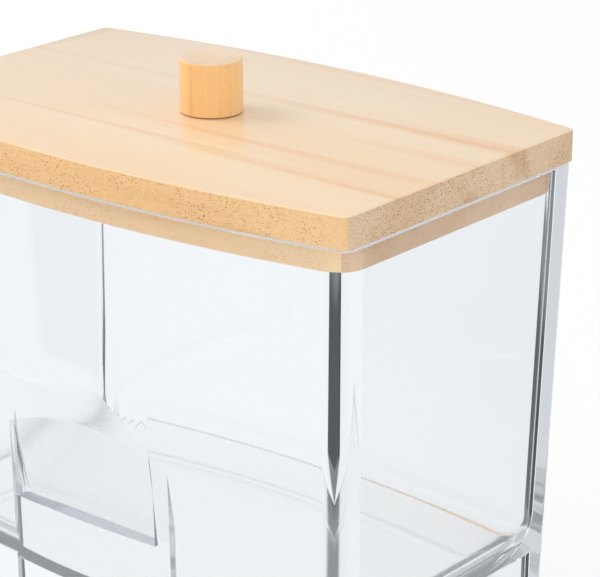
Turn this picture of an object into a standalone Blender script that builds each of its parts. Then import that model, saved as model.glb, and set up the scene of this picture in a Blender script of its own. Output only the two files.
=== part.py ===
"""Cotton swab container: a clear moulded box under a bamboo lid with a turned knob.

Metres, +Z up. X runs along the long side, Y across it, and the front is -Y.
The origin is the middle of the flat foot that the box stands on.
Both long sides are bowed: their middle stands out beyond their corners.
"""
import math

import bmesh
import bpy
from mathutils import Vector

# Clearances between pieces, and how far a cutter runs past what it cuts
SEAT_GAP = 0.0003
LID_CLEARANCE = 0.0004
HOLE_CLEARANCE = 0.0003
OVERRUN = 0.004

# Clear box, measured at its rim
BODY_LENGTH = 0.1602
BODY_WIDTH = 0.0899
BODY_HEIGHT = 0.120
SIDE_BOW = 0.00805
OUTER_CORNER_RADIUS = 0.0028
INNER_CORNER_RADIUS = 0.0049
WALL = 0.0033
DRAFT_DEGREES = 1.4

# Floor of the cavity, raised above the foot, and the hollow under it
FLOOR_HEIGHT = 0.011
FLOOR_THICKNESS = 0.0025
FLOOR_FILLET = 0.014
FOOT_WALL = 0.003

# Finger recess, pressed into the middle of the front wall
RECESS_WIDTH = 0.0485
RECESS_TOP = 0.075
RECESS_LEDGE = 0.0325
RECESS_DEPTH = 0.0043

# Lid board
LID_PROUD = 0.0001
LID_THICKNESS = 0.0083
LID_CORNER_RADIUS = 0.0014
LID_EDGE_ROUND = 0.0005

# Locating board, glued under the lid board, which drops into the rim
BOARD_THICKNESS = 0.0065
BOARD_CORNER_RADIUS = 0.0055
BOARD_EDGE_ROUND = 0.0005

# Knob and the wood screw that holds it from below
KNOB_DIAMETER = 0.0161
KNOB_HEIGHT = 0.0137
KNOB_EDGE_ROUND = 0.0006
SCREW_SHANK_DIAMETER = 0.0035
SCREW_HEAD_DIAMETER = 0.007
SCREW_HEAD_HEIGHT = 0.0022
SCREW_GRIP_IN_KNOB = 0.009
SCREW_TIP_LENGTH = 0.002
SCREW_SLOT_WIDTH = 0.001
SCREW_SLOT_DEPTH = 0.001
HEAD_SINK_DEPTH = 0.0032
HEAD_END_SHARE = 0.8

# Segments of the curved outlines
CORNER_SEGMENTS = 6
BOW_SEGMENTS = 20
FILLET_SEGMENTS = 8
RECESS_SEGMENTS = 12
EDGE_SEGMENTS = 3
TURNED_SEGMENTS = 48
SHARP_DEGREES = 40
MERGE_DISTANCE = 0.00001

# How much of a clear piece is left out when the viewport draws it
CLEAR_VIEW_SHARE = 0.7

# Heights that follow from the sizes above
LID_BOTTOM = BODY_HEIGHT + SEAT_GAP
LID_TOP = LID_BOTTOM + LID_THICKNESS
KNOB_BOTTOM = LID_TOP + SEAT_GAP
BOARD_TOP = LID_BOTTOM - SEAT_GAP
BOARD_BOTTOM = BOARD_TOP - BOARD_THICKNESS
HEAD_SEAT = BOARD_BOTTOM + HEAD_SINK_DEPTH


def cleared_scene():
    """Empties the scene and gives the collections for the parts and for their cutters."""
    for old in list(bpy.data.objects):
        bpy.data.objects.remove(old, do_unlink=True)
    parts = bpy.data.collections.new("cotton_swab_container")
    cutters = bpy.data.collections.new("cutters")
    bpy.context.scene.collection.children.link(parts)
    bpy.context.scene.collection.children.link(cutters)
    return parts, cutters


PARTS, CUTTERS = cleared_scene()


def finish(name, colour, roughness, clearness=0.0):
    """A Principled material in one colour; clearness is how much light passes through."""
    material = bpy.data.materials.new(name)
    material.use_nodes = True
    shader = material.node_tree.nodes["Principled BSDF"]
    shader.inputs["Base Color"].default_value = (*colour, 1.0)
    shader.inputs["Roughness"].default_value = roughness
    shader.inputs["Metallic"].default_value = 1.0 if name == "steel" else 0.0
    shader.inputs["Transmission Weight"].default_value = clearness
    material.diffuse_color = (*colour, 1.0 - CLEAR_VIEW_SHARE * clearness)
    return material


CLEAR_PLASTIC = finish("clear_plastic", (0.93, 0.96, 0.97), 0.05, 1.0)
BAMBOO = finish("bamboo", (0.87, 0.70, 0.47), 0.45)
STEEL = finish("steel", (0.60, 0.60, 0.58), 0.35)


def placed(name, mesh, material=None):
    """Puts a bmesh in the scene as a part, or as a hidden cutter when it has no material."""
    bmesh.ops.recalc_face_normals(mesh, faces=mesh.faces)
    data = bpy.data.meshes.new(name)
    mesh.to_mesh(data)
    mesh.free()
    item = bpy.data.objects.new(name, data)
    if material:
        data.materials.append(material)
        PARTS.objects.link(item)
    else:
        item.hide_render = True
        item.display_type = "WIRE"
        CUTTERS.objects.link(item)
    return item


def cut(item, cutter, operation="DIFFERENCE"):
    """Adds a Boolean of the cutter to the item."""
    boolean = item.modifiers.new(cutter.name, "BOOLEAN")
    boolean.operation = operation
    boolean.object = cutter
    boolean.solver = "EXACT"


def quarter_turns(segments):
    """Even angles from nothing to a right angle."""
    return [(math.pi / 2) * step / segments for step in range(segments + 1)]


def plan(length, width, radius, bow, height):
    """The bowed rectangle at one height, as points that run anticlockwise.

    The corners are arcs and the long sides follow a shallow parabola.
    """
    half_length, half_width = length / 2, width / 2
    radius = min(radius, half_length, half_width)
    straight = half_length - radius
    points = []
    for side in (1, -1):
        for quarter in (0, 1):
            start = (math.pi / 2) * (quarter - 1)
            centre_y = (half_width - radius) * (-1 if quarter == 0 else 1)
            for turn in quarter_turns(CORNER_SEGMENTS):
                x = straight + radius * math.cos(start + turn)
                y = centre_y + radius * math.sin(start + turn)
                points.append((side * x, side * y))
        for step in range(1, BOW_SEGMENTS):
            x = straight - 2 * straight * step / BOW_SEGMENTS
            points.append((side * x, side * half_width))
    ring = []
    for x, y in points:
        swell = 1 + bow * (1 - (x / half_length) ** 2) / half_width
        ring.append(Vector((x, y * swell, height)))
    return ring


def inset_plan(inset, radius, height):
    """The box's plan at a height, drawn in from the rim's outline on every side."""
    return plan(BODY_LENGTH - 2 * inset, BODY_WIDTH - 2 * inset, radius, SIDE_BOW, height)


def lofted(name, rings, material=None):
    """A closed solid through rings of like points, flat at its first and last ring."""
    mesh = bmesh.new()
    rows = [[mesh.verts.new(point) for point in ring] for ring in rings]
    for lower, upper in zip(rows, rows[1:]):
        for index, corner in enumerate(lower):
            after = (index + 1) % len(lower)
            mesh.faces.new((corner, lower[after], upper[after], upper[index]))
    mesh.faces.new(rows[0])
    mesh.faces.new(rows[-1])
    return placed(name, mesh, material)


def draft_at(height):
    """How far the outer wall has drawn in at a height, counted from the rim."""
    return math.tan(math.radians(DRAFT_DEGREES)) * (BODY_HEIGHT - height)


def body_blank():
    """The box's outer shape as a solid, tapered from the rim down to the foot."""
    rings = []
    for height in (0, BODY_HEIGHT):
        rings.append(inset_plan(draft_at(height), OUTER_CORNER_RADIUS, height))
    return lofted("container_body", rings, CLEAR_PLASTIC)


def cavity_cutter():
    """The inside of the box, with a wide fillet where the walls meet the floor."""
    fillet_centre = FLOOR_HEIGHT + FLOOR_FILLET
    wall_inset = WALL + draft_at(fillet_centre)
    rings = []
    for angle in quarter_turns(FILLET_SEGMENTS):
        height = fillet_centre - FLOOR_FILLET * math.cos(angle)
        inset = wall_inset + FLOOR_FILLET * (1 - math.sin(angle))
        rings.append(inset_plan(inset, INNER_CORNER_RADIUS, height))
    above = BODY_HEIGHT + OVERRUN
    rings.append(inset_plan(WALL + draft_at(above), INNER_CORNER_RADIUS, above))
    return lofted("cavity_cutter", rings)


def underside_cutter():
    """The hollow under the raised floor. It climbs along the outside of the floor's fillet."""
    fillet_centre = FLOOR_HEIGHT + FLOOR_FILLET
    wall_inset = WALL + draft_at(fillet_centre)
    outer_fillet = FLOOR_FILLET + FLOOR_THICKNESS
    foot_inset = draft_at(0) + FOOT_WALL
    rings = [inset_plan(foot_inset, INNER_CORNER_RADIUS, -OVERRUN)]
    curve = []
    for angle in quarter_turns(FILLET_SEGMENTS):
        inset = wall_inset + FLOOR_FILLET - outer_fillet * math.sin(angle)
        height = fillet_centre - outer_fillet * math.cos(angle)
        if inset > foot_inset + HOLE_CLEARANCE:
            curve.append((inset, height))
    top_height = curve[-1][1]
    rings.append(inset_plan(foot_inset, INNER_CORNER_RADIUS, top_height))
    for inset, height in reversed(curve):
        rings.append(inset_plan(inset, INNER_CORNER_RADIUS, height))
    return lofted("underside_cutter", rings)


def front_prism(name, half_width, lining, lowest):
    """A bar across the front whose back face follows the recess, set back by the lining."""
    crest = BODY_WIDTH / 2 + SIDE_BOW
    outside = -(crest + OVERRUN)
    profile = [(outside, RECESS_TOP)]
    for step in range(RECESS_SEGMENTS + 1):
        share = step / RECESS_SEGMENTS
        height = RECESS_TOP + (RECESS_LEDGE - RECESS_TOP) * share
        depth = RECESS_DEPTH * share ** 2
        profile.append((draft_at(height) - crest + depth + lining, height))
    if lowest < RECESS_LEDGE:
        profile.append((draft_at(lowest) - crest + RECESS_DEPTH + lining, lowest))
    profile.append((outside, lowest))
    mesh = bmesh.new()
    outline = [mesh.verts.new((-half_width, y, z)) for y, z in profile]
    end = mesh.faces.new(outline)
    grown = bmesh.ops.extrude_face_region(mesh, geom=[end])
    moved = [item for item in grown["geom"] if isinstance(item, bmesh.types.BMVert)]
    bmesh.ops.translate(mesh, verts=moved, vec=(2 * half_width, 0, 0))
    return placed(name, mesh)


def container_body():
    """The clear box: cavity above the floor, hollow below it, and the recess in front."""
    body = body_blank()
    lining = front_prism("recess_lining", RECESS_WIDTH / 2 + WALL, WALL, 0)
    recess = front_prism("recess_cutter", RECESS_WIDTH / 2, 0, RECESS_LEDGE)
    for cutter in (cavity_cutter(), underside_cutter()):
        cut(cutter, lining)
        cut(body, cutter)
    cut(body, recess)
    return body


def rounded(item, width):
    """Rounds the sharp edges of a part."""
    bevel = item.modifiers.new("rounded_edges", "BEVEL")
    bevel.width = width
    bevel.segments = EDGE_SEGMENTS
    bevel.limit_method = "ANGLE"
    bevel.angle_limit = math.radians(SHARP_DEGREES)


def bar(name, radius, bottom, top, material=None):
    """A round bar on the knob's axis; without a material it is a cutter."""
    mesh = bmesh.new()
    bmesh.ops.create_cone(
        mesh,
        cap_ends=True,
        segments=TURNED_SEGMENTS,
        radius1=radius,
        radius2=radius,
        depth=top - bottom,
    )
    bmesh.ops.translate(mesh, verts=mesh.verts, vec=(0, 0, (top + bottom) / 2))
    return placed(name, mesh, material)


def turned(name, profile, material):
    """A turned piece on the knob's axis, from a profile that runs down its outer side."""
    mesh = bmesh.new()
    points = [mesh.verts.new((radius, 0, height)) for radius, height in profile]
    for first, second in zip(points, points[1:]):
        mesh.edges.new((first, second))
    item = placed(name, mesh, material)
    screw = item.modifiers.new("turned", "SCREW")
    screw.steps = TURNED_SEGMENTS
    screw.render_steps = TURNED_SEGMENTS
    screw.use_merge_vertices = True
    screw.merge_threshold = MERGE_DISTANCE
    screw.use_smooth_shade = True
    return item


SHANK_HOLE_RADIUS = SCREW_SHANK_DIAMETER / 2 + HOLE_CLEARANCE
SCREW_TIP = KNOB_BOTTOM + SCREW_GRIP_IN_KNOB


def lid_board():
    """The bamboo board that covers the rim, bowed like the box and a little proud of it."""
    length = BODY_LENGTH + 2 * LID_PROUD
    width = BODY_WIDTH + 2 * LID_PROUD
    rings = [plan(length, width, LID_CORNER_RADIUS, SIDE_BOW, z) for z in (LID_BOTTOM, LID_TOP)]
    board = lofted("lid_board", rings, BAMBOO)
    rounded(board, LID_EDGE_ROUND)
    cut(board, bar("lid_hole", SHANK_HOLE_RADIUS, LID_BOTTOM - OVERRUN, LID_TOP + OVERRUN))
    return board


def locating_board():
    """The smaller board that sits inside the rim and keeps the lid in place."""
    inset = WALL + LID_CLEARANCE
    rings = []
    for height in (BOARD_BOTTOM, BOARD_TOP):
        rings.append(inset_plan(inset + draft_at(BOARD_BOTTOM), BOARD_CORNER_RADIUS, height))
    board = lofted("locating_board", rings, BAMBOO)
    rounded(board, BOARD_EDGE_ROUND)
    below = BOARD_BOTTOM - OVERRUN
    cut(board, bar("board_hole", SHANK_HOLE_RADIUS, below, BOARD_TOP + OVERRUN))
    sink_radius = SCREW_HEAD_DIAMETER / 2 + HOLE_CLEARANCE
    cut(board, bar("head_sink", sink_radius, below, HEAD_SEAT))
    return board


def knob():
    """The turned knob, with a blind hole from below for the screw."""
    radius = KNOB_DIAMETER / 2
    top = KNOB_BOTTOM + KNOB_HEIGHT
    profile = [(0, top)]
    for angle in quarter_turns(EDGE_SEGMENTS):
        x = radius - KNOB_EDGE_ROUND * (1 - math.sin(angle))
        z = top - KNOB_EDGE_ROUND * (1 - math.cos(angle))
        profile.append((x, z))
    profile += [(radius, KNOB_BOTTOM), (0, KNOB_BOTTOM)]
    item = turned("knob", profile, BAMBOO)
    hole_end = SCREW_TIP + HOLE_CLEARANCE
    cut(item, bar("knob_hole", SHANK_HOLE_RADIUS, KNOB_BOTTOM - OVERRUN, hole_end))
    return item


def knob_screw():
    """A wood screw from below, with its head sunk in the locating board."""
    head_top = HEAD_SEAT - SEAT_GAP
    head_bottom = head_top - SCREW_HEAD_HEIGHT
    shank = SCREW_SHANK_DIAMETER / 2
    head = SCREW_HEAD_DIAMETER / 2
    profile = [(0, SCREW_TIP), (shank, SCREW_TIP - SCREW_TIP_LENGTH), (shank, head_top)]
    profile += [(head, head_top), (head, head_bottom + SCREW_HEAD_HEIGHT / 2)]
    profile += [(head * HEAD_END_SHARE, head_bottom), (0, head_bottom)]
    screw = turned("knob_screw", profile, STEEL)
    slot = bmesh.new()
    bmesh.ops.create_cube(slot, size=1)
    size = (SCREW_HEAD_DIAMETER + OVERRUN, SCREW_SLOT_WIDTH, 2 * SCREW_SLOT_DEPTH)
    bmesh.ops.scale(slot, verts=slot.verts, vec=size)
    bmesh.ops.translate(slot, verts=slot.verts, vec=(0, 0, head_bottom))
    cut(screw, placed("screw_slot", slot))
    return screw


def hung_on_lid(pieces):
    """The lid's pieces hang on one empty at the middle of the rim, on the way the lid lifts."""
    lift = bpy.data.objects.new("lid_lift", None)
    lift.location = (0, 0, BODY_HEIGHT)
    PARTS.objects.link(lift)
    bpy.context.view_layer.update()
    for piece in pieces:
        piece.parent = lift
        piece.matrix_parent_inverse = lift.matrix_world.inverted()


def main():
    container_body()
    hung_on_lid([lid_board(), locating_board(), knob(), knob_screw()])


main()
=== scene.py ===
# %% [markdown]
# # A clear box with a bamboo lid
#
# The object is a moulded box of clear plastic, bowed along its long sides, under a bamboo lid with a
# turned knob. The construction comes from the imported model. This script gives each piece its finer
# shape and its finish, and sets up the studio.

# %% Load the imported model
import math

import bmesh
import bpy
from mathutils import Matrix, Vector


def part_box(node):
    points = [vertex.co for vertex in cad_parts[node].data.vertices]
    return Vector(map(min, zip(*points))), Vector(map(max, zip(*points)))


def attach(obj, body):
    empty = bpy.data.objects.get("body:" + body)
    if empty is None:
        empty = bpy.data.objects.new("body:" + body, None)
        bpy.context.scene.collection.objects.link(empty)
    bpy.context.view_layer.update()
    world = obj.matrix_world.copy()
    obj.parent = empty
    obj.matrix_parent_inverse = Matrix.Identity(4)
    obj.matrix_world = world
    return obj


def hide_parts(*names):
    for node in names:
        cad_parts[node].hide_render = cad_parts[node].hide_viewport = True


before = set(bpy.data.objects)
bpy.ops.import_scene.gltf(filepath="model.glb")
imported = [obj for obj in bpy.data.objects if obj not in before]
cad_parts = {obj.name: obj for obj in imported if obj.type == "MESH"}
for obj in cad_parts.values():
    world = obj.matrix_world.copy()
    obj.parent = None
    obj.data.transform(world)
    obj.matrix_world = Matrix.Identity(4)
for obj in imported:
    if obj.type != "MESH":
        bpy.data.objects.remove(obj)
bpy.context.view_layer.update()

# %% [markdown]
# ## The camera
#
# The camera could be placed by eye, but clear plastic bends what is behind it, so a small error in the
# viewing angle moves every line inside the box. The values below were fitted to the lid's corners and
# edges in the photograph. The place is counted from the middle of the rim, in metres.

# %% Camera
PHOTO_WIDTH = 600
FOCAL_LENGTH_PIXELS = 2589.35
SENSOR_WIDTH_MM = 36.0
CAMERA_AZIMUTH = 39.567
CAMERA_PITCH_DOWN = 20.025
CAMERA_FROM_RIM = Vector((0.41993, -0.47304, 0.19068))

lid_low, lid_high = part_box("lid_board")
body_low, body_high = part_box("container_body")

camera_data = bpy.data.cameras.new("camera")
camera_data.sensor_fit = "HORIZONTAL"
camera_data.sensor_width = SENSOR_WIDTH_MM
camera_data.lens = SENSOR_WIDTH_MM * FOCAL_LENGTH_PIXELS / PHOTO_WIDTH
camera_data.clip_start = 0.01
camera = bpy.data.objects.new("camera", camera_data)
camera.location = CAMERA_FROM_RIM + Vector((0, 0, lid_low.z))
camera.rotation_euler = (math.radians(90 - CAMERA_PITCH_DOWN), 0, math.radians(CAMERA_AZIMUTH))
bpy.context.scene.collection.objects.link(camera)
bpy.context.scene.camera = camera
print("camera lens:", round(camera_data.lens, 2), "mm at", tuple(round(x, 3) for x in camera.location))

# %% [markdown]
# ## Shader sums written as sums
#
# A Math node for every plus and times makes a long script. The small class below wraps one socket, and
# its operators add the Math nodes. The Painter holds one material's tree and makes any other node in a
# single call: its type, its settings, then what goes into its sockets.

# %% A socket that can be used in sums
class Value:
    """One number socket. Each operator adds a Math node and gives its result."""

    def __init__(self, painter, socket):
        self.painter, self.socket = painter, socket

    def __add__(self, other):
        return self.painter.sum_of("ADD", self, other)

    def __sub__(self, other):
        return self.painter.sum_of("SUBTRACT", self, other)

    def __mul__(self, other):
        return self.painter.sum_of("MULTIPLY", self, other)

    def __truediv__(self, other):
        return self.painter.sum_of("DIVIDE", self, other)

    def __radd__(self, other):
        return self.painter.sum_of("ADD", other, self)

    def __rsub__(self, other):
        return self.painter.sum_of("SUBTRACT", other, self)

    def __rmul__(self, other):
        return self.painter.sum_of("MULTIPLY", other, self)


# %% One material's nodes
class Painter:
    """The node tree of a material or a world."""

    def __init__(self, owner):
        owner.use_nodes = True
        self.owner, self.tree = owner, owner.node_tree
        self.tree.nodes.clear()

    def node(self, kind, settings=None, inputs=None, output=0):
        """Adds a node and gives one of its outputs, as a Value when it is a number."""
        node = self.tree.nodes.new(kind)
        for name, setting in (settings or {}).items():
            if name == "stops":
                self.set_stops(node.color_ramp, setting)
            else:
                setattr(node, name, setting)
        for name, value in (inputs or {}).items():
            self.feed(node.inputs[name], value)
        socket = node.outputs[output]
        return Value(self, socket) if socket.type == "VALUE" else socket

    def sum_of(self, operation, first, second):
        """One Math node, for the operations that have no sign of their own too."""
        return self.node("ShaderNodeMath", {"operation": operation}, {0: first, 1: second})

    def feed(self, socket, value):
        """Links a socket to a node's output, or sets it to a plain value."""
        if isinstance(value, Value):
            value = value.socket
        if isinstance(value, bpy.types.NodeSocket):
            self.tree.links.new(value, socket)
        else:
            socket.default_value = value

    def set_stops(self, ramp, stops):
        """Gives a colour ramp its stops, each a place and a colour."""
        while len(ramp.elements) < len(stops):
            ramp.elements.new(1.0)
        for element, (place, colour) in zip(ramp.elements, stops):
            element.position = place
            element.color = (*colour, 1.0)

    def stretched(self, scale, shift=(0.0, 0.0, 0.0), turn=(0.0, 0.0, 0.0)):
        """Object coordinates, scaled differently along each axis."""
        place = self.node("ShaderNodeTexCoord", output="Object")
        inputs = {"Vector": place, "Location": shift, "Rotation": turn, "Scale": scale}
        return self.node("ShaderNodeMapping", {"vector_type": "POINT"}, inputs)

    def noise(self, place, scale=1.0, detail=2.0, roughness=0.5):
        """Soft cloudy noise from 0 to 1."""
        inputs = {"Vector": place, "Scale": scale, "Detail": detail, "Roughness": roughness}
        return self.node("ShaderNodeTexNoise", None, inputs, output="Fac")

    def between(self, value, low, high, bottom=0.0, top=1.0):
        """A smooth step: bottom where the value is at low, top where it is at high."""
        settings = {"interpolation_type": "SMOOTHSTEP", "clamp": True}
        inputs = {"Value": value, "From Min": low, "From Max": high, "To Min": bottom, "To Max": top}
        return self.node("ShaderNodeMapRange", settings, inputs)

    def mixed(self, share, first, second, how="MIX"):
        """Two colours mixed by a share."""
        settings = {"data_type": "RGBA", "blend_type": how}
        inputs = {0: share, 6: first, 7: second}
        return self.node("ShaderNodeMix", settings, inputs, output=2)

    def surface(self, shader):
        """Joins a shader to the output."""
        is_world = isinstance(self.owner, bpy.types.World)
        kind = "ShaderNodeOutputWorld" if is_world else "ShaderNodeOutputMaterial"
        end = self.tree.nodes.new(kind)
        self.tree.links.new(shader, end.inputs["Surface"])


def rgb(red, green, blue):
    """A colour picked on screen, 0 to 255, as the linear colour that shaders use."""
    linear = []
    for part in (red, green, blue):
        part /= 255
        linear.append(part / 12.92 if part <= 0.04045 else ((part + 0.055) / 1.055) ** 2.4)
    return (*linear, 1.0)


# %% [markdown]
# ## Bamboo
#
# Bamboo board is glued up from strips. Its fibres run the length of the board, so the same pattern
# shows as fine lines on the faces and as dots where the board is cut across. A picture of wood would
# have to be bent round the edges. A solid pattern, stretched along the grain, gives both looks at once.

# %% Bamboo, as a solid pattern
FIBRE_WIDTH = 0.00035
FIBRE_LENGTH = 0.040
BAND_WIDTH = 0.0065
BAND_LENGTH = 0.30


def grain(painter, along, width, length, shift=(0.0, 0.0, 0.0)):
    """Coordinates in which one unit is a fibre's width across the grain and its length along it."""
    scale = [1 / width] * 3
    scale["XYZ".index(along)] = 1 / length
    return painter.stretched(tuple(scale), shift)


def bamboo(name, along, tones, gloss, pores, pore_width, pore_length, crowded=(0.40, 0.62)):
    """A bamboo finish. tones are two fibre colours, the darker bands' colour and the pores' colour."""
    pale, deep, streak, pore_tone = tones
    material = bpy.data.materials.new(name)
    painter = Painter(material)
    fibres = painter.noise(grain(painter, along, FIBRE_WIDTH, FIBRE_LENGTH), 1.0, 3.0, 0.6)
    bands = painter.noise(grain(painter, along, BAND_WIDTH, BAND_LENGTH, (3.1, 1.7, 0.0)), 1.0, 1.5, 0.45)
    clouds = painter.noise(grain(painter, along, 0.030, 0.12, (0.0, 5.2, 2.0)), 1.0, 1.0, 0.5)
    speckle = painter.noise(painter.stretched((2600.0, 2600.0, 2600.0)), 1.0, 2.0, 0.6)
    fibre_share = painter.between(fibres, 0.30, 0.70)
    band_share = painter.between(bands, 0.54, 0.76)
    cloud_share = painter.between(clouds, 0.35, 0.65)
    body_colour = painter.mixed(fibre_share * 0.4 + cloud_share * 0.6, pale, deep)
    colour = painter.mixed(band_share * (0.55 + fibre_share * 0.45), body_colour, streak)

    pore_place = grain(painter, along, pore_width, pore_length)
    spots = painter.node(
        "ShaderNodeTexVoronoi", {"feature": "F1"}, {"Vector": pore_place, "Scale": 1.0}, "Distance"
    )
    ragged = painter.noise(pore_place, 3.0, 2.0, 0.6)
    depth = painter.between(spots + (ragged - 0.5) * 0.3, 0.10, 0.34, 1.0, 0.0)
    crowd = painter.noise(painter.stretched((70.0, 70.0, 70.0)), 1.0, 2.0, 0.6)
    pore = depth * painter.between(crowd, *crowded) * pores
    colour = painter.mixed(pore, colour, pore_tone)
    colour = painter.mixed(painter.between(speckle, 0.35, 0.75) * pores * 0.22, colour, pore_tone)

    rough = painter.between(fibres, 0.2, 0.8, 0.46, 0.60) + pore * 0.2
    height = fibres * 0.5 + speckle * pores * 0.5 - pore * 1.2
    bump_inputs = {"Height": height, "Strength": 0.2 if gloss else 0.5, "Distance": 0.0001}
    bump = painter.node("ShaderNodeBump", None, bump_inputs)
    inputs = {"Base Color": colour, "Roughness": rough, "Normal": bump}
    inputs["Coat Weight"] = gloss
    inputs["Coat Roughness"] = 0.16
    inputs["Coat IOR"] = 1.5
    inputs["Specular IOR Level"] = 0.35
    painter.surface(painter.node("ShaderNodeBsdfPrincipled", None, inputs))
    return material


FACE_TONES = (rgb(248, 224, 190), rgb(246, 212, 170), rgb(240, 188, 138), rgb(214, 160, 112))
SIDE_TONES = (rgb(240, 203, 152), rgb(230, 185, 131), rgb(216, 166, 112), rgb(140, 92, 52))
END_TONES = (rgb(228, 200, 168), rgb(214, 182, 146), rgb(202, 166, 128), rgb(104, 74, 52))
# The locating board's side and end tones are lighter than the lid's: painted light, for the board in
# shade behind the plastic.
INNER_PAINTED_LIGHT_TONES = (rgb(246, 217, 174), rgb(240, 202, 154), rgb(230, 186, 134), rgb(156, 112, 70))
INNER_END_PAINTED_LIGHT_TONES = (rgb(228, 198, 166), rgb(216, 182, 148), rgb(204, 168, 130), rgb(130, 96, 66))
KNOB_TONES = (rgb(251, 212, 154), rgb(244, 194, 130), rgb(228, 164, 98), rgb(190, 126, 70))
KNOB_END_TONES = (rgb(246, 220, 190), rgb(236, 206, 172), rgb(226, 190, 152), rgb(180, 140, 104))
BAMBOO_FACE = bamboo("bamboo_face", "X", FACE_TONES, 0.85, 0.12, 0.0008, 0.0060)
BAMBOO_SIDE = bamboo("bamboo_side", "X", SIDE_TONES, 0.0, 0.85, 0.00045, 0.0013, (0.36, 0.62))
BAMBOO_END = bamboo("bamboo_end", "X", END_TONES, 0.0, 1.0, 0.00058, 0.0035, (0.32, 0.56))
# Lighter copies for the locating board: painted light against the shade it sits in.
BAMBOO_INNER_PAINTED_LIGHT = bamboo("bamboo_inner_painted_light", "X", INNER_PAINTED_LIGHT_TONES, 0.0, 0.5, 0.00045, 0.0013)
BAMBOO_INNER_END_PAINTED_LIGHT = bamboo("bamboo_inner_end_painted_light", "X", INNER_END_PAINTED_LIGHT_TONES, 0.0, 0.8, 0.00050, 0.0035)
KNOB_SIDE = bamboo("knob_side", "Z", KNOB_TONES, 0.25, 0.25, 0.0006, 0.0040)
KNOB_END = bamboo("knob_end", "Z", KNOB_END_TONES, 0.3, 0.35, 0.00045, 0.0030)
print("bamboo finishes:", len([m for m in bpy.data.materials if m.name.startswith(("bamboo", "knob"))]))

# %% [markdown]
# ## The plan of every piece
#
# The box, the lid board and the locating board share one plan: a rectangle with round corners whose
# long sides are bowed. One grid face is scaled, its corners are bevelled and its long edges are cut
# into short ones. The bow comes last, as a swelling of Y, so that insets stay even.

# %% The shared plan
SIDE_BOW = 0.00805
CORNER_STEPS = 12
BOW_STEPS = 64


def plan_face(mesh, length, width, radius):
    """One flat face with rounded corners, centred on the origin. Its long sides are still straight."""
    grid = bmesh.ops.create_grid(mesh, x_segments=1, y_segments=1, size=0.5)
    bmesh.ops.scale(mesh, vec=(length, width, 1), verts=grid["verts"])
    bmesh.ops.bevel(
        mesh,
        geom=grid["verts"],
        offset=radius,
        offset_type="OFFSET",
        affect="VERTICES",
        segments=CORNER_STEPS,
        profile=0.5,
        material=-1,
    )
    bmesh.ops.delete(mesh, geom=mesh.faces, context="FACES_ONLY")
    runs = [(edge, abs(edge.verts[0].co.x - edge.verts[1].co.x)) for edge in mesh.edges]
    long_edges = [edge for edge, run in runs if run > length / 2]
    bmesh.ops.subdivide_edges(mesh, edges=long_edges, cuts=BOW_STEPS - 1)
    return bmesh.ops.edgeloop_fill(mesh, edges=mesh.edges)["faces"][0]


def half_sizes(verts):
    """Half the length and half the width that some vertices span."""
    return max(vert.co.x for vert in verts), max(vert.co.y for vert in verts)


def bow(verts):
    """Swells a ring of vertices across Y, most in the middle of its length."""
    half_length, half_width = half_sizes(verts)
    for vert in verts:
        vert.co.y *= 1 + SIDE_BOW * (1 - (vert.co.x / half_length) ** 2) / half_width


def drawn_stroke(mesh, face, path):
    """Extrudes a face along a path of (inset, height). Gives the last face and all the rings."""
    half_length, half_width = half_sizes(face.verts)
    rings = []
    passed = []
    inset_now = 0.0
    for step, (inset, height) in enumerate(path):
        if step:
            passed.append(face)
            grown = bmesh.ops.extrude_face_region(mesh, geom=[face])
            face = [item for item in grown["geom"] if isinstance(item, bmesh.types.BMFace)][0]
        shrink_x = (half_length - inset) / (half_length - inset_now)
        shrink_y = (half_width - inset) / (half_width - inset_now)
        verts = list(face.verts)
        bmesh.ops.scale(mesh, vec=(shrink_x, shrink_y, 0), verts=verts)
        bmesh.ops.translate(mesh, vec=(0, 0, height), verts=verts)
        rings.append(verts)
        inset_now = inset
    bmesh.ops.delete(mesh, geom=passed, context="FACES_ONLY")
    return face, rings


def as_piece(name, mesh, materials, body, node):
    """Makes a bmesh a piece that rides on a body and stands for a CAD node."""
    data = bpy.data.meshes.new(name)
    mesh.to_mesh(data)
    mesh.free()
    for material in materials:
        data.materials.append(material)
    piece = bpy.data.objects.new(name, data)
    bpy.context.scene.collection.objects.link(piece)
    data.shade_smooth()
    data.set_sharp_from_angle(angle=math.radians(32))
    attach(piece, body)
    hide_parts(node)
    print(name, "faces:", len(data.polygons))
    return piece


# %% [markdown]
# ## The clear box
#
# The box is one wall thick everywhere: a taper outside, a cavity with a wide fillet, a floor above the
# table and a hollow foot. Cutting one solid from another would leave long thin faces that bend light
# oddly. Drawing the section as strokes of one extruded face keeps the faces even, and loops join them.

# %% The clear box, in three strokes
WALL = 0.0033
DRAFT = math.tan(math.radians(1.4))
OUTER_RADIUS = 0.0028
INNER_RADIUS = 0.0049
FLOOR_HEIGHT = 0.011
FLOOR_THICKNESS = 0.0025
FLOOR_FILLET = 0.014
FOOT_WALL = 0.003
RIM_ROUND = 0.0004
BRIDGE_STEP = 0.00002
STRAIGHT_START = 0.0015
FILLET_STEPS = 20
ROUND_STEPS = 4

rim_height = body_high.z
body_length = body_high.x - body_low.x
body_width = body_high.y - body_low.y - 2 * SIDE_BOW


def draft_at(height):
    """How far the wall has drawn in at a height, counted from the rim."""
    return DRAFT * (rim_height - height)


def quarter(steps):
    """The sine and cosine of angles from 0 to 90 degrees."""
    angles = [math.pi / 2 * step / steps for step in range(steps + 1)]
    return [(math.sin(angle), math.cos(angle)) for angle in angles]


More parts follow.
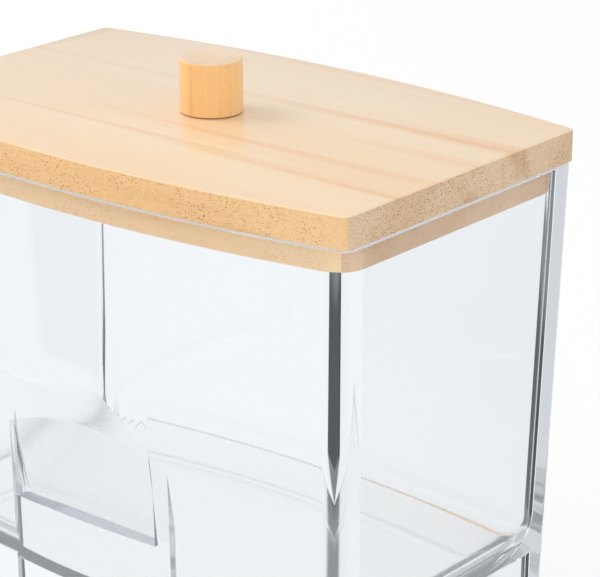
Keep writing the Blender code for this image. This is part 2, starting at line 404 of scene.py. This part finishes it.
def outer_path():
    """Up the outside of the wall and over the rim's outer edge."""
    path = [(draft_at(0) + RIM_ROUND, 0.0)]
    for s, c in quarter(ROUND_STEPS)[1:]:
        path.append((draft_at(0) + RIM_ROUND * (1 - s), RIM_ROUND * (1 - c)))
    top = rim_height - RIM_ROUND
    path += [(draft_at(height), height) for height in (STRAIGHT_START, top - STRAIGHT_START)]
    path += [(RIM_ROUND * (1 - c), top + RIM_ROUND * s) for s, c in quarter(ROUND_STEPS)]
    return path


def inner_path():
    """From the rim's inner edge down the inside of the wall and round the floor's fillet."""
    top = rim_height - RIM_ROUND - BRIDGE_STEP
    path = [(-RIM_ROUND * (1 - s), top + RIM_ROUND * c) for s, c in quarter(ROUND_STEPS)]
    centre = FLOOR_HEIGHT + FLOOR_FILLET
    path += [(draft_at(height), height) for height in (top - STRAIGHT_START, centre + STRAIGHT_START)]
    for s, c in quarter(FILLET_STEPS):
        path.append((draft_at(centre) + FLOOR_FILLET * (1 - c), centre - FLOOR_FILLET * s))
    return [(inset + WALL, height) for inset, height in path]


def underside_path():
    """From the foot's inner edge up the hollow and along the outside of the fillet."""
    foot = draft_at(0) + FOOT_WALL
    centre = FLOOR_HEIGHT + FLOOR_FILLET
    outer_fillet = FLOOR_FILLET + FLOOR_THICKNESS
    curve = []
    for s, c in quarter(FILLET_STEPS):
        inset = WALL + draft_at(centre) + FLOOR_FILLET - outer_fillet * c
        if inset > foot + RIM_ROUND:
            curve.append((inset, centre - outer_fillet * s))
    edge = [(foot - RIM_ROUND * (1 - s), RIM_ROUND * (1 - c)) for s, c in quarter(ROUND_STEPS)]
    path = [(inset, height + BRIDGE_STEP) for inset, height in edge]
    return path + [(foot, curve[0][1])] + curve


def stroke_loop(radius, path):
    """One stroke of the section, as a mesh that is open where it starts."""
    mesh = bmesh.new()
    face = plan_face(mesh, body_length, body_width, radius)
    for ring in drawn_stroke(mesh, face, path)[1]:
        bow(ring)
    return mesh


def joined(meshes):
    """Several bmeshes in one."""
    whole = bmesh.new()
    for mesh in meshes:
        data = bpy.data.meshes.new("stroke")
        mesh.to_mesh(data)
        whole.from_mesh(data)
        bpy.data.meshes.remove(data)
        mesh.free()
    return whole


def outer_shell():
    """The outside stroke, with its last face taken off too, so that the rim is open."""
    mesh = bmesh.new()
    face = plan_face(mesh, body_length, body_width, OUTER_RADIUS)
    last, rings = drawn_stroke(mesh, face, outer_path())
    bmesh.ops.delete(mesh, geom=[last], context="FACES_ONLY")
    for ring in rings:
        bow(ring)
    return mesh


def open_edges_at(mesh, height):
    """The open edges at one height, which are the two rings to be joined there."""
    near = RIM_ROUND / 4
    edges = [edge for edge in mesh.edges if edge.is_boundary]
    return [edge for edge in edges if all(abs(vert.co.z - height) < near for vert in edge.verts)]


inner_strokes = [stroke_loop(INNER_RADIUS, path) for path in (inner_path(), underside_path())]
shell = joined([outer_shell(), *inner_strokes])
for height in (rim_height, 0.0):
    edges = open_edges_at(shell, height)
    print("joining", len(edges), "edges at height", round(height, 4))
    bmesh.ops.bridge_loops(shell, edges=edges)
bmesh.ops.recalc_face_normals(shell, faces=shell.faces)
print("open edges left:", sum(edge.is_boundary for edge in shell.edges))

# %% [markdown]
# ## The finger recess
#
# The middle of the front wall is pressed in below half height, down to a ledge for a fingertip. The
# wall keeps about its thickness there, so the recess also shows as a bulge inside. Pushing vertices of
# the wall would stretch its faces. Two bars do it cleanly. The first adds plastic behind the recess,
# with a flat sloping back. The second, with the recess's curved back, is cut from the front.

# %% The recess bars
RECESS_WIDTH = 0.0485
RECESS_TOP = 0.075
RECESS_LEDGE = 0.0325
RECESS_DEPTH = 0.0043
RECESS_STEPS = 24
RECESS_SPLAY = 0.1
RECESS_ROUND = 0.0016
ROUND_SEGMENTS = 6
MID_WALL = 0.0020
LINING_BACK = 0.0006
LINING_TOP = 0.062
PAST_WALL = 0.004

crest = body_width / 2 + SIDE_BOW
lining_half = RECESS_WIDTH / 2 + WALL * math.hypot(1, RECESS_SPLAY)


def is_back_rim(edge, front, half_width):
    """Whether an edge of a bar runs down one of its two back corners."""
    first, second = (vert.co for vert in edge.verts)
    depths = [point.y + crest - draft_at(point.z) for point in (first, second)]
    same_end = first.x * second.x > 0
    return same_end and min(depths) > front + RECESS_ROUND


def recess_bar(half_width, front, back, lowest):
    """A bar across the front, from the depth of its front face to a line of depths behind."""
    mesh = bmesh.new()
    profile = [(front, back[0][1]), *back, (front, lowest)]
    points = [mesh.verts.new((-half_width, draft_at(z) - crest + depth, z)) for depth, z in profile]
    grown = bmesh.ops.extrude_face_region(mesh, geom=[mesh.faces.new(points)])
    far_end = [item for item in grown["geom"] if isinstance(item, bmesh.types.BMVert)]
    bmesh.ops.translate(mesh, vec=(2 * half_width, 0, 0), verts=far_end)
    for vert in mesh.verts:
        depth = vert.co.y + crest - draft_at(vert.co.z)
        vert.co.x *= 1 - RECESS_SPLAY * depth / half_width
    rims = [edge for edge in mesh.edges if is_back_rim(edge, front, half_width)]
    bmesh.ops.bevel(
        mesh,
        geom=rims,
        offset=RECESS_ROUND,
        offset_type="OFFSET",
        affect="EDGES",
        segments=ROUND_SEGMENTS,
        profile=0.5,
        material=-1,
    )
    bmesh.ops.recalc_face_normals(mesh, faces=mesh.faces)
    return mesh


def as_object(name, mesh):
    """A plain object from a bmesh, for use in a Boolean."""
    data = bpy.data.meshes.new(name)
    mesh.to_mesh(data)
    mesh.free()
    item = bpy.data.objects.new(name, data)
    bpy.context.scene.collection.objects.link(item)
    return item


def with_boolean(mesh, other, operation):
    """The mesh joined with the other one, or with the other cut from it."""
    item, tool = as_object("worked", mesh), as_object("tool", other)
    boolean = item.modifiers.new("boolean", "BOOLEAN")
    boolean.operation = operation
    boolean.object = tool
    boolean.solver = "EXACT"
    done = item.evaluated_get(bpy.context.evaluated_depsgraph_get())
    result = bmesh.new()
    result.from_mesh(done.to_mesh())
    done.to_mesh_clear()
    for used in (item, tool):
        bpy.data.meshes.remove(used.data)
    return result


recess_back = []
for step in range(RECESS_STEPS + 1):
    share = step / RECESS_STEPS
    recess_back.append((RECESS_DEPTH * share ** 2, RECESS_TOP + (RECESS_LEDGE - RECESS_TOP) * share))
deepest = RECESS_DEPTH + WALL
lining_back = [(WALL - LINING_BACK, LINING_TOP), (deepest, RECESS_LEDGE), (deepest, BRIDGE_STEP)]
shell = with_boolean(shell, recess_bar(lining_half, MID_WALL, lining_back, BRIDGE_STEP), "UNION")
recess = recess_bar(RECESS_WIDTH / 2, -PAST_WALL, recess_back, RECESS_LEDGE)
shell = with_boolean(shell, recess, "DIFFERENCE")
print("with the recess:", len(shell.faces), "faces")
print("open edges left:", sum(edge.is_boundary for edge in shell.edges))

# %% [markdown]
# ## The clear plastic
#
# Clear styrene is smooth and bends light about as much as window glass. Its look is all in what it
# shows: the white table, and thin dark lines where the wall turns. One finish everywhere would show the
# floor's fillet and the recess's sides as hard lines, so those faces are a little softer. The ledge is
# darkened grey, a painted shade for its dark line. The plastic lets the lamps through, so that the
# bamboo inside the rim is lit.

# %% Clear plastic
PLASTIC_IOR = 1.49
PLASTIC_TINT = (0.992, 0.996, 1.0, 1.0)
LAMP_TINT = (0.98, 0.985, 0.99, 1.0)
MIRRORINGS_FOLLOWED = 4
LAST_MIRRORINGS = 2
TRAPPED_LIGHT = rgb(174, 177, 181)
SOFT_ROUGHNESS = 0.14
SOFT_GLOW = 0.4
RIM_PART = 0.72
LEVEL, STEEP, SIDEWAYS = 0.9, 0.05, 0.5
CORNER_TURN = 0.25
CREASE_DEGREES = 8.5
LEDGE_ROUGHNESS = 0.2
# The ledge is darkened grey: a painted shade that draws its dark line.
LEDGE_PAINTED_SHADE = (0.42, 0.43, 0.50, 1.0)


def clear_plastic(name, roughness, glow, tint_and_painted_shade=PLASTIC_TINT):
    """Clear plastic with a faint cold tinge that lets the lamps' light pass.
    On the ledge its colour is instead a grey painted shade.

    Light that the wall mirrors to and fro more often than the renderer follows would come out black.
    The glow stands for it: it shows only to a ray's last mirrorings.
    """
    material = bpy.data.materials.new(name)
    painter = Painter(material)
    mirrorings = painter.node("ShaderNodeLightPath", output="Glossy Depth")
    trapped = painter.sum_of("GREATER_THAN", mirrorings, MIRRORINGS_FOLLOWED - LAST_MIRRORINGS + 0.5)
    inputs = {"Base Color": tint_and_painted_shade, "Roughness": roughness, "IOR": PLASTIC_IOR}
    inputs["Transmission Weight"] = 1.0
    inputs["Emission Color"] = painter.mixed(trapped, (0.0, 0.0, 0.0, 1.0), TRAPPED_LIGHT)
    inputs["Emission Strength"] = glow / LAST_MIRRORINGS
    plastic = painter.node("ShaderNodeBsdfPrincipled", None, inputs)
    passed = painter.node("ShaderNodeBsdfTransparent", None, {"Color": LAMP_TINT})
    for_lamps = painter.node("ShaderNodeLightPath", output="Is Shadow Ray")
    painter.surface(painter.node("ShaderNodeMixShader", None, {0: for_lamps, 1: plastic, 2: passed}))
    return material


CLEAR_PLASTIC = clear_plastic("clear_plastic", 0.0, 1.0)
SOFT_PLASTIC = clear_plastic("clear_plastic_floor", SOFT_ROUGHNESS, SOFT_GLOW)
# The ledge's plastic is darkened grey as a painted shade.
LEDGE_PLASTIC_WITH_PAINTED_SHADE = clear_plastic("clear_plastic_ledge_painted_shade", LEDGE_ROUGHNESS, SOFT_GLOW, LEDGE_PAINTED_SHADE)


def finish_of(part):
    """Which plastic a face takes: clear, soft where it was shaped by the mould's core, or the ledge's,
    whose grey is a painted shade.
    """
    spot = part.calc_center_median()
    across, along, up = (abs(share) for share in part.normal)
    if abs(spot.z - RECESS_LEDGE) < BRIDGE_STEP and up > LEVEL:
        return 2
    steep = up < STEEP
    above = spot.z > RIM_PART * rim_height
    far_corner = spot.x < 0 < spot.y and min(across, along) > CORNER_TURN
    recess_side = across > SIDEWAYS and abs(spot.x) < RECESS_WIDTH
    return 0 if (steep or above) and not far_corner and not recess_side else 1


for part in shell.faces:
    part.material_index = finish_of(part)
uses = [part.material_index for part in shell.faces]
print("faces of each plastic:", [uses.count(index) for index in range(3)])
plastics = [CLEAR_PLASTIC, SOFT_PLASTIC, LEDGE_PLASTIC_WITH_PAINTED_SHADE]
box_piece = as_piece("clear_box", shell, plastics, "container", "container_body")
box_piece.data.set_sharp_from_angle(angle=math.radians(CREASE_DEGREES))
even = box_piece.modifiers.new("even_shading", "WEIGHTED_NORMAL")
even.keep_sharp = True

# %% [markdown]
# ## The boards
#
# Each board starts as the shared plan, pulled up by its thickness. Its edges are eased with a small
# bevel, as sandpaper leaves them. The faces, the sawn sides and the cross-cut ends take different
# finishes, because lacquer fills the faces and soaks into the ends. The locating board's sides and
# ends are lighter copies of the lid's: painted light, for a board in the lid's shade behind the plastic.

# %% The lid board and the locating board
LID_RADIUS = 0.0014
LID_EASE = 0.0005
BOARD_RADIUS = 0.0055
BOARD_EASE = 0.0004
EASE_STEPS = 3
FACE_UP, END_ON = 0.7, 0.75


def board(name, low, high, radius, ease, node, finishes):
    """A bamboo board in the shared plan, between two corners of its CAD box."""
    mesh = bmesh.new()
    width = high.y - low.y - 2 * SIDE_BOW
    face = plan_face(mesh, high.x - low.x, width, radius)
    bow(list(face.verts))
    bmesh.ops.translate(mesh, vec=(0, 0, low.z), verts=mesh.verts)
    grown = bmesh.ops.extrude_face_region(mesh, geom=[face])
    top = [item for item in grown["geom"] if isinstance(item, bmesh.types.BMVert)]
    bmesh.ops.translate(mesh, vec=(0, 0, high.z - low.z), verts=top)
    bmesh.ops.recalc_face_normals(mesh, faces=mesh.faces)
    rims = [edge for edge in mesh.edges if abs(edge.verts[0].co.z - edge.verts[1].co.z) < ease]
    bmesh.ops.bevel(
        mesh,
        geom=rims,
        offset=ease,
        offset_type="OFFSET",
        affect="EDGES",
        segments=EASE_STEPS,
        profile=0.5,
        material=-1,
    )
    for part in mesh.faces:
        if abs(part.normal.z) > FACE_UP:
            part.material_index = 0
        else:
            part.material_index = 2 if abs(part.normal.x) > END_ON else 1
    return as_piece(name, mesh, finishes, "lid", node)


LID_FINISHES = [BAMBOO_FACE, BAMBOO_SIDE, BAMBOO_END]
# The locating board's sides and ends carry painted light: lighter copies of the lid's finishes.
INNER_FINISHES_WITH_PAINTED_LIGHT = [BAMBOO_FACE, BAMBOO_INNER_PAINTED_LIGHT, BAMBOO_INNER_END_PAINTED_LIGHT]
lid_piece = board(
    "bamboo_lid", lid_low, lid_high, LID_RADIUS, LID_EASE, "lid_board", LID_FINISHES
)
board_low, board_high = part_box("locating_board")
board_piece = board(
    "bamboo_locating_board",
    board_low,
    board_high,
    BOARD_RADIUS,
    BOARD_EASE,
    "locating_board",
    INNER_FINISHES_WITH_PAINTED_LIGHT,
)

# %% [markdown]
# ## The knob
#
# The knob is a short turned cylinder. Its profile is spun round the axis, which is what a lathe does,
# and its top edge is eased a little.

# %% The knob
KNOB_EASE = 0.0006
SPIN_STEPS = 96

knob_low, knob_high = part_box("knob")
knob_radius = (knob_high.x - knob_low.x) / 2


def knob_mesh():
    """The knob's profile, spun full circle."""
    mesh = bmesh.new()
    profile = [(0.0, knob_high.z)]
    for s, c in quarter(6):
        profile.append((knob_radius - KNOB_EASE * (1 - s), knob_high.z - KNOB_EASE * (1 - c)))
    profile += [(knob_radius, knob_low.z), (0.0, knob_low.z)]
    points = [mesh.verts.new((x, 0, z)) for x, z in profile]
    edges = [mesh.edges.new(pair) for pair in zip(points, points[1:])]
    bmesh.ops.spin(
        mesh,
        geom=points + edges,
        cent=(0, 0, 0),
        axis=(0, 0, 1),
        angle=2 * math.pi,
        steps=SPIN_STEPS,
        use_merge=True,
    )
    bmesh.ops.remove_doubles(mesh, verts=mesh.verts, dist=BRIDGE_STEP / 2)
    bmesh.ops.recalc_face_normals(mesh, faces=mesh.faces)
    for part in mesh.faces:
        part.material_index = 1 if abs(part.normal.z) > FACE_UP else 0
    return mesh


knob_piece = as_piece("bamboo_knob", knob_mesh(), [KNOB_SIDE, KNOB_END], "lid", "knob")

# %% [markdown]
# ## The screw
#
# The screw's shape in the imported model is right, so it stays. Only its finish is new: zinc plating,
# with a little unevenness from noise.

# %% The screw's zinc finish
def zinc():
    """Thin zinc plating, a little uneven."""
    material = bpy.data.materials.new("zinc")
    painter = Painter(material)
    patches = painter.noise(painter.stretched((900.0, 900.0, 900.0)), 1.0, 3.0, 0.6)
    colour = painter.mixed(patches, rgb(196, 198, 200), rgb(160, 162, 160))
    inputs = {"Base Color": colour, "Metallic": 1.0, "Roughness": patches * 0.25 + 0.25}
    painter.surface(painter.node("ShaderNodeBsdfPrincipled", None, inputs))
    return material


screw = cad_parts["knob_screw"]
screw.data.materials.clear()
screw.data.materials.append(zinc())
print("screw finish:", screw.data.materials[0].name)

# %% [markdown]
# ## The studio
#
# The background is white because the floor is white to the camera, and to rays that come through the
# plastic or bounce off it. The lamps stay at a plain level. The floor keeps part of its own shading, so
# the object still has a shadow.

# %% The floor
FLOOR_SIZE = 6.0
FLOOR_GAP = 0.0001
SHADOW_SHARE = 0.18


def floor_material():
    """White to the camera, with some of the real shading left in."""
    material = bpy.data.materials.new("studio_floor")
    painter = Painter(material)
    matte = painter.node("ShaderNodeBsdfDiffuse", None, {"Color": (0.95, 0.95, 0.95, 1.0)})
    white = painter.node("ShaderNodeEmission", None, {"Color": (1.0, 1.0, 1.0, 1.0), "Strength": 1.0})
    seen = painter.node("ShaderNodeLightPath", output="Is Camera Ray")
    through = painter.node("ShaderNodeLightPath", output="Is Transmission Ray")
    mirrored = painter.node("ShaderNodeLightPath", output="Is Glossy Ray")
    share = painter.sum_of("MAXIMUM", painter.sum_of("MAXIMUM", seen, through), mirrored)
    mix = {0: share * (1 - SHADOW_SHARE), 1: matte, 2: white}
    painter.surface(painter.node("ShaderNodeMixShader", None, mix))
    return material


floor_mesh = bmesh.new()
bmesh.ops.create_grid(floor_mesh, x_segments=1, y_segments=1, size=FLOOR_SIZE / 2)
floor_data = bpy.data.meshes.new("studio_floor")
floor_mesh.to_mesh(floor_data)
floor_mesh.free()
floor_data.materials.append(floor_material())
floor = bpy.data.objects.new("studio_floor", floor_data)
floor.location = (0, 0, body_low.z - FLOOR_GAP)
floor.visible_transmission = False
floor.visible_glossy = False
bpy.context.scene.collection.objects.link(floor)
print("floor:", FLOOR_SIZE, "m square")

# %% [markdown]
# ## What the plastic shows
#
# Clear plastic shows its surroundings, squeezed into thin bands at the corners. In the photograph the
# straight view through the walls is white, the corner mirrors a dark room on the camera's side, and the
# rest is pale grey. A real room could be built for it, but a few tones by compass bearing do the same.
# Bamboo behind the plastic gets more of the world's light, which stands for what the walls gather.

# %% The world
WORLD_STRENGTH = 0.75
STRAIGHT_VIEW = rgb(250, 253, 255)[:3]
PALE_GREY = rgb(208, 212, 216)[:3]
DARK_ROOM = rgb(24, 25, 27)
DARK_FROM = (0.73, 0.79)
DARK_UNTIL = (0.94, 0.99)
THROUGH_STRENGTH = 1.5
BEARING_STOPS = [
    (-180, PALE_GREY),
    (-90, PALE_GREY),
    (-64, STRAIGHT_VIEW),
    (-37, STRAIGHT_VIEW),
    (-32, rgb(247, 250, 253)[:3]),
    (-5, rgb(240, 244, 249)[:3]),
    (50, PALE_GREY),
    (180, PALE_GREY),
]


def studio_world():
    """Even light from all sides; white to the camera; three tones by bearing through the plastic."""
    world = bpy.data.worlds.new("studio")
    bpy.context.scene.world = world
    painter = Painter(world)
    way = painter.node("ShaderNodeTexCoord", output="Generated")
    apart = painter.tree.nodes.new("ShaderNodeSeparateXYZ")
    painter.feed(apart.inputs["Vector"], way)
    east, north, up = (Value(painter, socket) for socket in apart.outputs)
    bearing = painter.sum_of("ARCTAN2", east, north) / (2 * math.pi) + 0.5
    stops = [((degrees + 180) / 360, tone) for degrees, tone in BEARING_STOPS]
    tone = painter.node("ShaderNodeValToRGB", {"stops": stops}, {"Fac": bearing}, "Color")
    mirrored = painter.node("ShaderNodeLightPath", output="Is Glossy Ray")
    through = painter.node("ShaderNodeLightPath", output="Is Transmission Ray")
    dark = painter.between(bearing, *DARK_FROM) * painter.between(bearing, *DARK_UNTIL, 1.0, 0.0)
    tone = painter.mixed(dark * mirrored * (1 - through), tone, DARK_ROOM)
    below = painter.between(up, -0.05, 0.15)
    tone = painter.mixed(below, tone, (WORLD_STRENGTH, WORLD_STRENGTH, WORLD_STRENGTH, 1.0))
    even = {"Color": (1.0, 1.0, 1.0, 1.0), "Strength": WORLD_STRENGTH}
    light = painter.node("ShaderNodeBackground", None, even)
    toned = painter.node("ShaderNodeBackground", None, {"Color": tone, "Strength": 1.0})
    white = painter.node("ShaderNodeBackground", None, {"Color": (1.0, 1.0, 1.0, 1.0), "Strength": 1.0})
    seen = painter.node("ShaderNodeLightPath", output="Is Camera Ray")
    scatterings = painter.node("ShaderNodeLightPath", output="Diffuse Depth")
    scattered = painter.sum_of("GREATER_THAN", scatterings, 0.5)
    inside = {"Color": (1.0, 1.0, 1.0, 1.0), "Strength": THROUGH_STRENGTH}
    inside = painter.node("ShaderNodeBackground", None, inside)
    toned = painter.node("ShaderNodeMixShader", None, {0: scattered, 1: toned, 2: inside})
    either = painter.sum_of("MAXIMUM", through, mirrored)
    mixed = painter.node("ShaderNodeMixShader", None, {0: either, 1: light, 2: toned})
    painter.surface(painter.node("ShaderNodeMixShader", None, {0: seen, 1: mixed, 2: white}))


studio_world()
print("world tones by bearing:", len(BEARING_STOPS))

# %% [markdown]
# ## The dark card
#
# Something dark stands behind the box to the right: it shows as the dark bands in the near corner and
# at the back. Darkening the world there would also darken the panels. A card at a distance, which only
# rays through the plastic see, gives its left edge the right place in both bands.

# %% The dark card
CARD_DISTANCE = 0.95
CARD_LEFT, CARD_RIGHT = -0.483, 0.90
CARD_TOP, CARD_BOTTOM = -0.01, -1.2
CARD_DARK = rgb(9, 10, 12)
CARD_GREY = rgb(112, 115, 120)
CARD_FADE_ABOVE = (-0.305, -0.265)
CARD_FADE_BELOW = (-0.46, -0.42)
CARD_CUT_HEIGHTS = (-0.24, -0.21)
CARD_CUT_PLACES = (-0.30, -0.24)


def dark_card():
    """A card that only the plastic shows: dark in a band across it, grey above and below, and white at
    its top left.
    """
    mesh = bmesh.new()
    bmesh.ops.create_grid(mesh, x_segments=1, y_segments=1, size=0.5)
    bmesh.ops.rotate(mesh, matrix=Matrix.Rotation(math.radians(90), 3, "X"), verts=mesh.verts)
    size = (CARD_RIGHT - CARD_LEFT, 1.0, CARD_TOP - CARD_BOTTOM)
    bmesh.ops.scale(mesh, vec=size, verts=mesh.verts)
    middle = ((CARD_LEFT + CARD_RIGHT) / 2, CARD_DISTANCE, (CARD_TOP + CARD_BOTTOM) / 2)
    bmesh.ops.translate(mesh, vec=middle, verts=mesh.verts)
    card = as_object("dark_card", mesh)
    material = bpy.data.materials.new("dark_card")
    painter = Painter(material)
    apart = painter.tree.nodes.new("ShaderNodeSeparateXYZ")
    painter.feed(apart.inputs["Vector"], painter.node("ShaderNodeTexCoord", output="Object"))
    height = Value(painter, apart.outputs["Z"])
    across = Value(painter, apart.outputs["X"])
    above = painter.between(height, *CARD_FADE_ABOVE)
    under = painter.between(height, *CARD_FADE_BELOW, 1.0, 0.0)
    tone = painter.mixed(above + under, CARD_DARK, CARD_GREY)
    left = painter.between(across, *CARD_CUT_PLACES, 1.0, 0.0)
    top_left = painter.between(height, *CARD_CUT_HEIGHTS) * left
    tone = painter.mixed(top_left, tone, (*STRAIGHT_VIEW, 1.0))
    inputs = {"Color": tone, "Strength": 1.0}
    painter.surface(painter.node("ShaderNodeEmission", None, inputs))
    card.data.materials.append(material)
    for rays in ("camera", "diffuse", "glossy", "shadow", "volume_scatter"):
        setattr(card, "visible_" + rays, False)


dark_card()
print("dark card:", round(CARD_RIGHT - CARD_LEFT, 3), "m wide")

# %% [markdown]
# ## The lamps
#
# Large soft lamps give the lid its even light and the knob its soft shadow. The plastic doesn't show
# them, because the photograph has no lamp's reflection in it.

# %% The lamps
def soft_lamp(name, place, size, power):
    """A large square lamp that faces the object."""
    lamp = bpy.data.lights.new(name, "AREA")
    lamp.shape = "SQUARE"
    lamp.size = size
    lamp.energy = power
    holder = bpy.data.objects.new(name, lamp)
    holder.location = place
    aim = Vector((0, 0, rim_height)) - Vector(place)
    holder.rotation_euler = aim.to_track_quat("-Z", "Y").to_euler()
    holder.visible_glossy = False
    holder.visible_transmission = False
    bpy.context.scene.collection.objects.link(holder)
    return holder


soft_lamp("key_lamp", (-1.2, -0.5, 1.3), 1.0, 12.5)
soft_lamp("front_lamp", (-0.4, -1.5, 0.25), 0.8, 4.2)
soft_lamp("fill_lamp", (1.4, -0.3, 0.35), 1.0, 4.0)

# %% [markdown]
# ## Colours as written
#
# The Standard view shows colours as they are written.

# %% Colour management
bpy.context.scene.view_settings.view_transform = "Standard"
